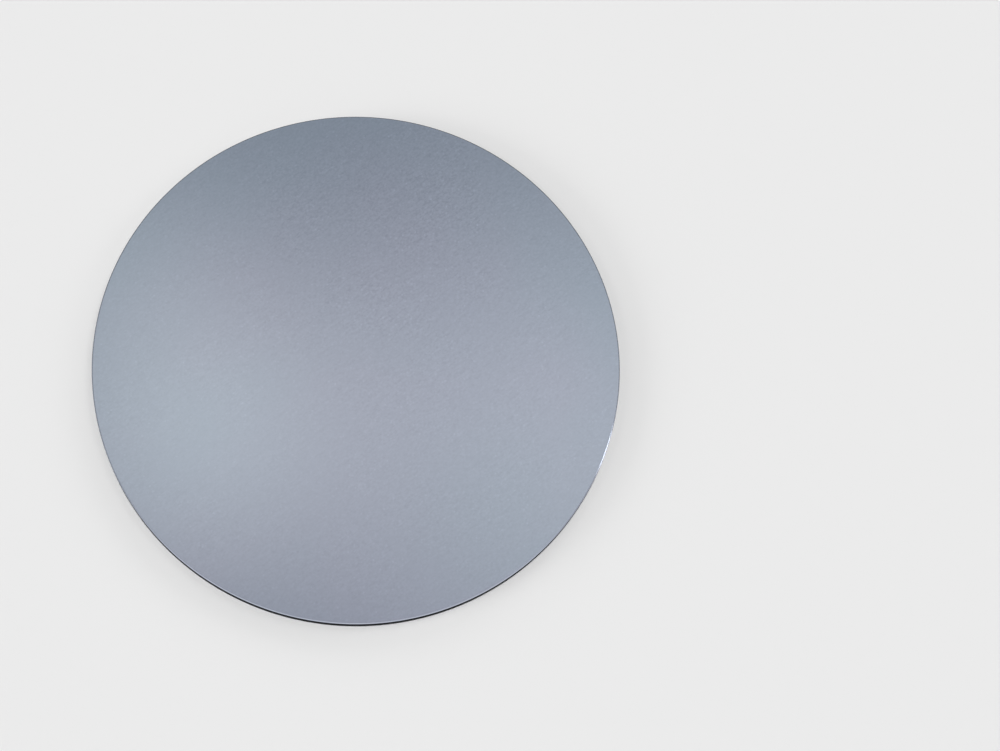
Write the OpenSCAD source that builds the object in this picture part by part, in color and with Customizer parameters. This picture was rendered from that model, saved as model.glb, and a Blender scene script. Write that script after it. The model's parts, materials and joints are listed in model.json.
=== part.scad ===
// Silicon sputtering target: one solid round disc of silicon with a ground side wall and a fine
// bevel round each face. It lies on its back face, with the origin at that face's centre, the
// axis of the disc along +Z and the sputter face on top. All sizes are in millimetres.

/* [Disc] */
// Diameter over the ground side wall (six inches)
target_d = 152.4; // [50.8:0.1:330]
// Thickness from the back face to the sputter face
target_t = 4; // [2:0.05:12]

/* [Front bevel] */
// How far the front bevel reaches in over the sputter face
front_bevel_w = 0.3; // [0.1:0.05:0.8]
// How far the front bevel reaches down the side wall
front_bevel_h = 0.3; // [0.1:0.05:0.8]

/* [Back bevel] */
// How far the back bevel reaches in under the back face
back_bevel_w = 0.3; // [0.1:0.05:0.8]
// How far the back bevel reaches up the side wall
back_bevel_h = 0.3; // [0.1:0.05:0.8]

/* [Arrises] */
// Radius that softens the arris between the front bevel and its neighbours
front_arris_r = 0.1; // [0.02:0.01:0.16]
// Radius that softens the arris between the back bevel and its neighbours
back_arris_r = 0.1; // [0.02:0.01:0.16]

/* [Hidden] */

silicon_grey = [0.63, 0.655, 0.706];

// Flat steps round the disc, and along each softened arris
disc_steps = 360;
arris_steps = 6;

target_r = target_d / 2;

// Corners of half the disc's section, before they are softened, as [distance from axis, height].
// They run from the back face's centre round the rim to the sputter face's centre.
back_centre = [0, 0];
back_rim = [target_r - back_bevel_w, 0];
wall_foot = [target_r, back_bevel_h];
wall_head = [target_r, target_t - front_bevel_h];
front_rim = [target_r - front_bevel_w, target_t];
front_centre = [0, target_t];

// Unit vector that points from one corner to another
function heading(from, to) = (to - from) / norm(to - from);

// Points of the arc that softens a corner where the section turns left, touching both its sides
function softened(before, corner, after, r) =
    let (
        run_in = heading(before, corner),
        run_out = heading(corner, after),
        turn = acos(run_in * run_out),
        inward = [-run_in.y, run_in.x],
        centre = corner - r * tan(turn / 2) * run_in + r * inward,
        start = atan2(-inward.y, -inward.x)
    )
    [
        for (i = [0 : arris_steps])
            let (angle = start + turn * i / arris_steps)
            centre + r * [cos(angle), sin(angle)]
    ];

// Half the disc's section: flat faces, straight wall, and a bevel with two softened arrises at
// each end of the wall
module half_section() {
    polygon(concat(
        [back_centre],
        softened(back_centre, back_rim, wall_foot, back_arris_r),
        softened(back_rim, wall_foot, wall_head, back_arris_r),
        softened(wall_foot, wall_head, front_rim, front_arris_r),
        softened(wall_head, front_rim, front_centre, front_arris_r),
        [front_centre]
    ));
}

// The whole target, turned from one solid piece of silicon
module target_disc() {
    color(silicon_grey)
        rotate_extrude($fn = disc_steps)
            half_section();
}

target_disc();
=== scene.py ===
"""Finish, studio and camera for a round silicon sputtering target that lies on its back face.

The disc is spun from its half section, like the solid that it stands for, with more steps round
the rim. All lengths are in metres. The disc's axis is Z, and the camera stands on the -Y side.
"""
import json
import math

import bmesh
import bpy
from mathutils import Euler, Matrix, Vector


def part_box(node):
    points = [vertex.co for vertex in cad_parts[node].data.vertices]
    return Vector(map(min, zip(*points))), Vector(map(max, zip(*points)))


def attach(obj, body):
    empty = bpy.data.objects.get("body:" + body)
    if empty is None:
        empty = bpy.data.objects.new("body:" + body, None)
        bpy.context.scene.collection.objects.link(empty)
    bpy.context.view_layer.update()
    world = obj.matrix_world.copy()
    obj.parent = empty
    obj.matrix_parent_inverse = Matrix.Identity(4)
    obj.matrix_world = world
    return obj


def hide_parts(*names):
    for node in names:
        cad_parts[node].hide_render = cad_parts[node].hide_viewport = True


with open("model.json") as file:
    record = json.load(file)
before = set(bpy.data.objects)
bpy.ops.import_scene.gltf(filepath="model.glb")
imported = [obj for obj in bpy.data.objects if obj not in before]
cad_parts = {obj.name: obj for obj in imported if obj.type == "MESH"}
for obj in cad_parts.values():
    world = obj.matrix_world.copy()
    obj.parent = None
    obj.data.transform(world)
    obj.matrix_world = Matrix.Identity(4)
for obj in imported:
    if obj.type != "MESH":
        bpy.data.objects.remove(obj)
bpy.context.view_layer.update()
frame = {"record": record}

MM = 0.001
NODE = "target_disc"

# ---- The disc's sizes ---------------------------------------------------------------------------
MOUNTS = {mount["name"]: mount for mount in frame["record"]["mounts"]}
DISC_R = MOUNTS["rim"]["dims"]["r_mm"] * MM
DISC_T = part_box(NODE)[1].z
BEVEL = 0.3 * MM
ARRIS_R = 0.1 * MM
ARRIS_TURN = math.radians(45)
SPIN_STEPS = 480
ARRIS_STEPS = 4
# Each flat face has a ring half way out, and a narrow collar by the bevel, which keeps its shading flat
MIDWAY_R = DISC_R / 2
COLLAR_W = 0.15 * MM
# Points closer together than this are one point, and a point this near to a corner lies on it
MERGE_DISTANCE = 1e-6
CORNER_REACH = 1e-5
# The least rise of a polygon's normal on a flat face, and on a bevel
FLAT_RISE = 0.999
BEVEL_RISE = 0.3

# ---- Finishes: colours as linear values, and how strong the marks of grinding and the painted glints are in them ---
SILICON = {"Cool": (0.340, 0.390, 0.457, 1.0), "Warm": (0.364, 0.384, 0.460, 1.0)}
# The side wall's grey is painted shade: ground silicon painted much darker than the face, so that the
# rim looks dark
WALL_SHADE_GREY = (0.11, 0.115, 0.125, 1.0)
SHADED_WALL_SILICON = {"Cool": WALL_SHADE_GREY, "Warm": WALL_SHADE_GREY}
FACE_MARKS = {**SILICON, "Grain": 0.20, "Streaks": 0.16, "PaintedGlint": 0.10, "Roughness": 0.32}
BACK_MARKS = {**SILICON, "Grain": 0.26, "Streaks": 0.18, "PaintedGlint": 0.10, "Roughness": 0.36}
BEVEL_MARKS = {**SILICON, "Grain": 0.15, "Streaks": 0.0, "PaintedGlint": 0.0, "Roughness": 0.25}
WALL_MARKS = {**SHADED_WALL_SILICON, "Grain": 1.2, "Streaks": 0.5, "PaintedGlint": 0.5, "Roughness": 0.4}
# How much of the grain's height shows in each finish, and how deep the grain is
FACE_RELIEF = 0.2
BACK_RELIEF = 0.3
BEVEL_RELIEF = 0.1
GRAIN_DEPTH = 0.002 * MM
# The tint of gloss at grazing angles: white on the ground faces, and none on the side wall, so that it
# stays dark there as painted shade
FULL_SHEEN = (1.0, 1.0, 1.0, 1.0)
NO_SHEEN = (0.0, 0.0, 0.0, 1.0)

# ---- The marks of grinding and the painted glints: scales are waves in a metre ------------------
GRAIN_SCALE = 1300.0
GRAIN_BREAKUP = 0.7
GRAIN_DULLING = 0.1
STREAK_SCALE = 1600.0
STREAK_STRETCH = 3.2
STREAK_CURL = 1.0
STREAK_TURN = math.radians(38)
# Painted glints: bright specks painted into the colour, standing in for glints of light off the ground
# surfaces
# The glints sit in cells, from clear at the cell's edge to full at its middle, in the picked cells only
PAINTED_GLINT_SCALE = 1100.0
PAINTED_GLINT_EDGE_TO_MIDDLE = (0.5, 0.0)
PAINTED_GLINT_PICKED = (0.6, 1.0)
# All the marks, the painted glints too, are stronger in some patches, and above all in one broad zone
PATCH_SCALE = 60.0
PATCH_STRENGTH = (0.8, 1.2)
STRONG_ZONE_PLACE = (0.2 * DISC_R, 0.6 * DISC_R, 0.0)
STRONG_ZONE_R = 0.85 * DISC_R
STRONG_ZONE_GAIN = 0.75
# The tint is warm round one place and cools between these distances from it, with a slow drift
WARM_PLACE = (0.0, -0.3 * DISC_R, 0.0)
COOLING_REACH = (0.6 * DISC_R, 1.4 * DISC_R)
DRIFT_SCALE = 14.0
DRIFT_WARMTH = (0.8, 1.2)
# A noise lies about its middle, and nearly always within its span
NOISE_SPAN = (0.35, 0.65)
NOISE_MIDDLE = 0.5

# ---- Camera: angles in degrees ------------------------------------------------------------------
SENSOR_W = 36 * MM
LENS = 84.761 * MM
CAMERA_DISTANCE = 9.0 * DISC_R
CAMERA_AZIMUTH = 270
CAMERA_ELEVATION = 74.29
CAMERA_TILT = -0.165
CAMERA_PAN = 3.464
CAMERA_ROLL = 0.92


# ---- Helpers ------------------------------------------------------------------------------------
def direction(azimuth, elevation):
    """Unit vector towards a compass place: azimuth 0 is +X and 90 is +Y, in degrees."""
    a, e = math.radians(azimuth), math.radians(elevation)
    return Vector((math.cos(a) * math.cos(e), math.sin(a) * math.cos(e), math.sin(e)))


def add_object(name, data):
    """Links a new object that holds this data."""
    thing = bpy.data.objects.new(name, data)
    bpy.context.scene.collection.objects.link(thing)
    return thing


def new_node(tree, kind, values=None, **settings):
    """Adds a node, sets its properties, and sets or links its inputs."""
    made = tree.nodes.new(kind)
    for name, value in settings.items():
        setattr(made, name, value)
    for key, value in (values or {}).items():
        socket = made.inputs[key]
        if isinstance(value, bpy.types.NodeSocket):
            tree.links.new(value, socket)
        else:
            socket.default_value = value
    return made


def maths(tree, operation, *values):
    """One Math node's result."""
    return new_node(tree, "ShaderNodeMath", dict(enumerate(values)), operation=operation).outputs[0]


def empty_tree(holder):
    """Turns on a holder's nodes and clears them."""
    holder.use_nodes = True
    holder.node_tree.nodes.clear()
    return holder.node_tree


def spun(line, steps, start=0.0, span=math.tau):
    """A bmesh spun round the disc's axis from a line of points, each its radius and its height."""
    bm = bmesh.new()
    verts = [bm.verts.new((r * math.cos(start), r * math.sin(start), z)) for r, z in line]
    edges = [bm.edges.new(pair) for pair in zip(verts, verts[1:])]
    bmesh.ops.spin(
        bm, geom=verts + edges, axis=(0, 0, 1), cent=(0, 0, 0),
        angle=span, steps=steps, use_merge=span == math.tau,
    )
    return bm


# ---- The disc -----------------------------------------------------------------------------------
def arris_edges(bm, corners):
    """The round edges that the half section's corners left."""
    def at_corner(vert):
        place = Vector((math.hypot(vert.co.x, vert.co.y), vert.co.z))
        return any((place - Vector(corner)).length < CORNER_REACH for corner in corners)

    def level(edge):
        return abs(edge.verts[0].co.z - edge.verts[1].co.z) < MERGE_DISTANCE

    return [edge for edge in bm.edges if level(edge) and all(at_corner(vert) for vert in edge.verts)]


def spun_disc(name):
    """A closed disc with a bevel round each face and soft arrises, spun from its half section."""
    rim = DISC_R - BEVEL
    collar = rim - COLLAR_W
    corners = [(rim, 0.0), (DISC_R, BEVEL), (DISC_R, DISC_T - BEVEL), (rim, DISC_T)]
    half_section = [(0.0, 0.0), (MIDWAY_R, 0.0), (collar, 0.0), *corners]
    half_section += [(collar, DISC_T), (MIDWAY_R, DISC_T), (0.0, DISC_T)]
    bm = spun(half_section, SPIN_STEPS)
    bmesh.ops.remove_doubles(bm, verts=bm.verts, dist=MERGE_DISTANCE)
    bmesh.ops.recalc_face_normals(bm, faces=bm.faces)
    bmesh.ops.bevel(
        bm, geom=arris_edges(bm, corners), offset=ARRIS_R * math.tan(ARRIS_TURN / 2),
        offset_type="OFFSET", affect="EDGES", segments=ARRIS_STEPS, profile=0.5, material=-1,
    )
    mesh = bpy.data.meshes.new(name)
    bm.to_mesh(mesh)
    bm.free()
    mesh.shade_smooth()
    return add_object(name, mesh)


def finish_faces(disc, face, back, bevel, wall):
    """Gives each polygon of the disc the finish of the side that it lies on."""
    finishes = [face, back, bevel, wall]
    for finish in finishes:
        disc.data.materials.append(finish)
    for polygon in disc.data.polygons:
        rise = polygon.normal.z
        if rise > FLAT_RISE:
            finish = face
        elif rise < -FLAT_RISE:
            finish = back
        elif abs(rise) > BEVEL_RISE:
            finish = bevel
        else:
            finish = wall
        polygon.material_index = finishes.index(finish)


# ---- Finishes -----------------------------------------------------------------------------------
def noise(tree, place, scale, breakup=0.5, curl=0.0):
    """A noise round NOISE_MIDDLE with this many waves in a metre. Breakup adds finer waves to it."""
    values = {"Vector": place, "Scale": scale, "Roughness": breakup, "Distortion": curl}
    return new_node(tree, "ShaderNodeTexNoise", values).outputs["Fac"]


def remap(tree, value, low, high, new_low=0.0, new_high=1.0):
    """Maps a value between two bounds softly onto two new bounds."""
    values = {"Value": value, "From Min": low, "From Max": high, "To Min": new_low, "To Max": new_high}
    return new_node(tree, "ShaderNodeMapRange", values, interpolation_type="SMOOTHSTEP").outputs[0]


def soft_spot(tree, place, centre, radius, fade=1.0):
    """1 round a centre and 0 from the radius on, with a soft fade over the last share of the radius."""
    values = {"Vector": place, "Location": centre, "Scale": (radius, radius, radius)}
    near = new_node(tree, "ShaderNodeMapping", values, vector_type="TEXTURE").outputs[0]
    ball = new_node(tree, "ShaderNodeTexGradient", {0: near}, gradient_type="SPHERICAL")
    return remap(tree, ball.outputs["Fac"], 0.0, fade)


def ground_silicon_group():
    """The marks of grinding, a mottled grain and faint streaks, with painted glints and a slow shift of
    tint.
    """
    group = bpy.data.node_groups.new("ground_silicon", "ShaderNodeTree")
    socket = group.interface.new_socket
    socket("Cool", in_out="INPUT", socket_type="NodeSocketColor")
    socket("Warm", in_out="INPUT", socket_type="NodeSocketColor")
    for name in ("Grain", "Streaks", "PaintedGlint", "Roughness"):
        socket(name, in_out="INPUT", socket_type="NodeSocketFloat")
    socket("Color", in_out="OUTPUT", socket_type="NodeSocketColor")
    socket("Roughness", in_out="OUTPUT", socket_type="NodeSocketFloat")
    socket("Height", in_out="OUTPUT", socket_type="NodeSocketFloat")
    given = group.nodes.new("NodeGroupInput").outputs
    place = new_node(group, "ShaderNodeTexCoord").outputs["Object"]

    patches = remap(group, noise(group, place, PATCH_SCALE), *NOISE_SPAN, *PATCH_STRENGTH)
    strong_zone = soft_spot(group, place, STRONG_ZONE_PLACE, STRONG_ZONE_R)
    strength = maths(group, "MULTIPLY", patches, maths(group, "MULTIPLY_ADD", strong_zone, STRONG_ZONE_GAIN, 1.0))

    mottle = noise(group, place, GRAIN_SCALE, breakup=GRAIN_BREAKUP)
    grain = maths(group, "SUBTRACT", mottle, NOISE_MIDDLE)

    lay = {"Vector": place, "Rotation": (0, 0, STREAK_TURN), "Scale": (STREAK_STRETCH, 1, 1)}
    along = new_node(group, "ShaderNodeMapping", lay, vector_type="TEXTURE").outputs[0]
    scratches = noise(group, along, STREAK_SCALE, curl=STREAK_CURL)
    streaks = maths(group, "SUBTRACT", scratches, NOISE_MIDDLE)

    # Painted glints: bright specks painted into the colour in the picked cells
    cells = new_node(group, "ShaderNodeTexVoronoi", {"Vector": place, "Scale": PAINTED_GLINT_SCALE}).outputs
    glint = remap(group, cells["Distance"], *PAINTED_GLINT_EDGE_TO_MIDDLE)
    pick = new_node(group, "ShaderNodeSeparateColor", {0: cells["Color"]}).outputs[0]
    painted_glint = maths(group, "MULTIPLY", glint, remap(group, pick, *PAINTED_GLINT_PICKED))

    tone = maths(group, "MULTIPLY", grain, given["Grain"])
    tone = maths(group, "MULTIPLY_ADD", streaks, given["Streaks"], tone)
    tone = maths(group, "MULTIPLY_ADD", painted_glint, given["PaintedGlint"], tone)
    tone = maths(group, "MULTIPLY_ADD", tone, strength, 1.0)

    reach = new_node(group, "ShaderNodeVectorMath", {0: place, 1: WARM_PLACE}, operation="DISTANCE")
    cooling = remap(group, reach.outputs["Value"], *COOLING_REACH)
    drift = remap(group, noise(group, place, DRIFT_SCALE), *NOISE_SPAN, *DRIFT_WARMTH)
    mix = {"Factor": maths(group, "SUBTRACT", drift, cooling), "A": given["Cool"], "B": given["Warm"]}
    tint = new_node(group, "ShaderNodeMix", mix, data_type="RGBA").outputs["Result"]

    marked = {0: tint, "Scale": tone}
    colour = new_node(group, "ShaderNodeVectorMath", marked, operation="SCALE").outputs[0]
    dull = maths(group, "MULTIPLY_ADD", grain, GRAIN_DULLING, given["Roughness"])
    height = maths(group, "MULTIPLY", maths(group, "ADD", grain, streaks), strength)
    new_node(group, "NodeGroupOutput", {"Color": colour, "Roughness": dull, "Height": height})
    return group


def ground_finish(name, group, marks, relief=0.0, sheen=FULL_SHEEN):
    """A ground silicon surface: a metallic gloss with the marks of grinding in it."""
    material = bpy.data.materials.new(name)
    tree = empty_tree(material)
    ground = new_node(tree, "ShaderNodeGroup", marks, node_tree=group).outputs
    surface = {
        "Base Color": ground["Color"], "Metallic": 1.0,
        "Roughness": ground["Roughness"], "Specular Tint": sheen,
    }
    if relief:
        bump = {"Height": ground["Height"], "Strength": relief, "Distance": GRAIN_DEPTH}
        surface["Normal"] = new_node(tree, "ShaderNodeBump", bump).outputs[0]
    shader = new_node(tree, "ShaderNodeBsdfPrincipled", surface)
    new_node(tree, "ShaderNodeOutputMaterial", {"Surface": shader.outputs[0]})
    return material


# ---- Studio -------------------------------------------------------------------------------------
BACKDROP = (0.831, 0.831, 0.831, 1.0)
FLOOR_REACH = 12.0
FLOOR_DROP = 0.02 * MM
RING_STEPS = 96

# Soft lamps at a great distance: share of the floor's light, azimuth, elevation, width in degrees.
# A white sky gives the rest of the floor's light.
SKY_COLOUR = (1.0, 1.0, 1.0, 1.0)
SKY_SHARE = 0.10
LAMPS = {
    "left_low": (0.09, 195, 15, 24),
    "left_high": (0.05, 190, 48, 24),
    "left_front": (0.01, 235, 10, 20),
    "left_back": (0.02, 130, 14, 18),
    "right_low": (0.04, 20, 18, 24),
    "right_high": (0.08, 40, 60, 20),
    "right_back": (0.05, 65, 20, 26),
    "overhead": (0.56, 270, 88, 12),
}

# A soft panel overhead, which the disc mirrors: its own glow, and the lamps and the gel that brighten
# and tint it. Each of these has its colour, its place across the panel and its radius, and the gel
# takes its colour away.
PANEL_Z = 0.16
PANEL_PLACE = (0.0, 0.04, PANEL_Z)
PANEL_R = 0.24
PANEL_FADE = 0.3
PANEL_STEPS = 64
PANEL_GLOW = (0.55, 0.565, 0.605)
PANEL_LAMPS = {
    "left": ((0.66, 0.61, 0.54), (-0.065, 0.025), 0.115),
    "right": ((0.68, 0.67, 0.61), (0.080, 0.015), 0.145),
    "left_near": ((0.18, 0.37, 0.29), (-0.053, 0.015), 0.05),
    "left_far": ((0.15, 0.25, 0.20), (-0.080, 0.078), 0.05),
    "right_gel": ((-0.18, -0.04, -0.09), (0.057, -0.01), 0.05),
}

# A low strip round the near side, which draws the bevel's bright line. It fades in between two places
# along Y, and a small bright window in it draws a glint.
STRIP_R = DISC_R + 0.06
STRIP_SPAN = math.radians(210)
STRIP_HEIGHTS = (0.001, 0.024)
STRIP_GLOW = 1.3
STRIP_FADE = (-0.05, -0.105)
WINDOW_GLOW = 4.5
WINDOW_PLACE = (0.131, -0.029, 0.006)
WINDOW_R = 0.016
WINDOW_FADE = 0.5

# A dark card that lies round the far side and darkens the bevel there. It fades in between two places
# along Y, and its glow falls between two others.
CARD_RADII = (DISC_R + 0.003, 0.5)
CARD_RAISE = 0.2 * MM
CARD_FADE = (-0.08, -0.03)
CARD_FALL = (0.0, 0.09)
CARD_GLOW = (0.45, 0.15)


def stage_object(name, bm, material):
    """Makes an object for the studio from a bmesh and its material."""
    mesh = bpy.data.meshes.new(name)
    bm.to_mesh(mesh)
    bm.free()
    mesh.materials.append(material)
    thing = add_object(name, mesh)
    return thing


def mirrored_only(thing):
    """Hides a stage object from everything but the rays that gloss mirrors."""
    thing.visible_camera = False
    thing.visible_diffuse = False
    thing.visible_transmission = False
    thing.visible_volume_scatter = False
    thing.visible_shadow = False


def along_y(tree, place):
    """How far along Y a place is."""
    return new_node(tree, "ShaderNodeSeparateXYZ", {0: place}).outputs["Y"]


def glow_material(name, glow_and_mask):
    """A glow that fades to clear where its mask is 0. The given function makes both from a place."""
    material = bpy.data.materials.new(name)
    tree = empty_tree(material)
    place = new_node(tree, "ShaderNodeTexCoord").outputs["Object"]
    glow, mask = glow_and_mask(tree, place)
    lit = new_node(tree, "ShaderNodeEmission", {"Color": glow, "Strength": 1.0})
    clear = new_node(tree, "ShaderNodeBsdfTransparent")
    both = new_node(tree, "ShaderNodeMixShader", {0: mask, 1: clear.outputs[0], 2: lit.outputs[0]})
    new_node(tree, "ShaderNodeOutputMaterial", {"Surface": both.outputs[0]})
    # Mirrored rays find the glow by themselves, and it lights nothing else
    material.cycles.emission_sampling = "NONE"
    return material


def seen_or_mirrored(tree):
    """1 for the rays that show the surrounding behind a thing, mirrored in it or through it."""
    path = new_node(tree, "ShaderNodeLightPath").outputs
    seen = maths(tree, "MAXIMUM", path["Is Camera Ray"], path["Is Glossy Ray"])
    return maths(tree, "MAXIMUM", seen, path["Is Transmission Ray"])


def make_world():
    """A surrounding that looks as pale as the floor, and gives little light of its own."""
    world = bpy.data.worlds.new("studio")
    bpy.context.scene.world = world
    tree = empty_tree(world)
    sky = new_node(tree, "ShaderNodeBackground", {"Color": SKY_COLOUR, "Strength": SKY_SHARE})
    pale = new_node(tree, "ShaderNodeBackground", {"Color": BACKDROP, "Strength": 1.0})
    either = {0: seen_or_mirrored(tree), 1: sky.outputs[0], 2: pale.outputs[0]}
    both = new_node(tree, "ShaderNodeMixShader", either)
    new_node(tree, "ShaderNodeOutputWorld", {"Surface": both.outputs[0]})
    # The sky is dim and even, so it needs no light samples of its own
    world.cycles.sampling_method = "NONE"


def make_floor():
    """A wide pale floor just under the disc."""
    bm = bmesh.new()
    bmesh.ops.create_grid(bm, x_segments=1, y_segments=1, size=FLOOR_REACH)
    bmesh.ops.translate(bm, verts=bm.verts, vec=(0, 0, -FLOOR_DROP))
    material = bpy.data.materials.new("floor_paint")
    tree = empty_tree(material)
    shader = new_node(tree, "ShaderNodeBsdfDiffuse", {"Color": BACKDROP})
    new_node(tree, "ShaderNodeOutputMaterial", {"Surface": shader.outputs[0]})
    stage_object("floor", bm, material)


def make_panel():
    """The overhead panel, whose soft lamps shade the mirrored face."""
    def glow_and_mask(tree, place):
        glow = PANEL_GLOW
        for colour, centre, radius in PANEL_LAMPS.values():
            values = {0: soft_spot(tree, place, (*centre, PANEL_Z), radius), 1: colour, 2: glow}
            glow = new_node(tree, "ShaderNodeVectorMath", values, operation="MULTIPLY_ADD").outputs[0]
        return glow, soft_spot(tree, place, PANEL_PLACE, PANEL_R, PANEL_FADE)

    bm = bmesh.new()
    bmesh.ops.create_circle(bm, cap_ends=True, segments=PANEL_STEPS, radius=PANEL_R)
    bmesh.ops.translate(bm, verts=bm.verts, vec=PANEL_PLACE)
    mirrored_only(stage_object("overhead_panel", bm, glow_material("panel_glow", glow_and_mask)))


def make_strip():
    """The low strip, and the small bright window in it."""
    def glow_and_mask(tree, place):
        window = soft_spot(tree, place, WINDOW_PLACE, WINDOW_R, WINDOW_FADE)
        glow = maths(tree, "MULTIPLY_ADD", window, WINDOW_GLOW, STRIP_GLOW)
        return glow, maths(tree, "MAXIMUM", window, remap(tree, along_y(tree, place), *STRIP_FADE))

    start = -math.pi / 2 - STRIP_SPAN / 2
    bm = spun([(STRIP_R, z) for z in STRIP_HEIGHTS], RING_STEPS, start, STRIP_SPAN)
    mirrored_only(stage_object("bevel_strip", bm, glow_material("strip_glow", glow_and_mask)))


def make_card():
    """The dark card, a flat ring that is clear on the near side."""
    def glow_and_mask(tree, place):
        glow = remap(tree, along_y(tree, place), *CARD_FALL, *CARD_GLOW)
        return glow, remap(tree, along_y(tree, place), *CARD_FADE)

    bm = spun([(r, CARD_RAISE) for r in CARD_RADII], RING_STEPS)
    mirrored_only(stage_object("dark_card", bm, glow_material("card_glow", glow_and_mask)))


def make_lamps():
    """Lamps that light the floor and cast the disc's soft shadow. The disc doesn't mirror them."""
    for name, (share, azimuth, elevation, width) in LAMPS.items():
        lamp = bpy.data.lights.new(name, "SUN")
        # A sun of strength pi that stands straight overhead lights a white floor to plain white
        lamp.energy = share * math.pi / math.sin(math.radians(elevation))
        lamp.angle = math.radians(width)
        thing = add_object(name, lamp)
        thing.rotation_euler = direction(azimuth, elevation).to_track_quat("Z", "Y").to_euler()
        thing.visible_glossy = False


def make_camera():
    """The camera, which looks at the disc's centre and is then turned about its own axes."""
    back = direction(CAMERA_AZIMUTH, CAMERA_ELEVATION)
    data = bpy.data.cameras.new("camera")
    data.sensor_width = SENSOR_W / MM
    data.lens = LENS / MM
    camera = add_object("camera", data)
    aim = (-back).to_track_quat("-Z", "Y").to_matrix().to_4x4()
    angles = [math.radians(angle) for angle in (CAMERA_TILT, -CAMERA_PAN, CAMERA_ROLL)]
    turn = Euler(angles, "ZXY").to_matrix().to_4x4()
    camera.matrix_world = Matrix.Translation(back * CAMERA_DISTANCE) @ aim @ turn
    bpy.context.scene.camera = camera


def make_disc():
    """The disc in its finishes, in place of the plain solid."""
    group = ground_silicon_group()
    disc = spun_disc("silicon_disc")
    finish_faces(
        disc,
        face=ground_finish("ground_face", group, FACE_MARKS, FACE_RELIEF),
        back=ground_finish("ground_back", group, BACK_MARKS, BACK_RELIEF),
        bevel=ground_finish("ground_bevel", group, BEVEL_MARKS, BEVEL_RELIEF),
        # The side wall: ground silicon with painted shade, dark grey and without gloss at grazing
        # angles
        wall=ground_finish("ground_wall", group, WALL_MARKS, sheen=NO_SHEEN),
    )
    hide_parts(NODE)
    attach(disc, "root")


bpy.context.scene.view_settings.view_transform = "Standard"
make_camera()
make_disc()
make_floor()
make_world()
make_lamps()
make_panel()
make_strip()
make_card()
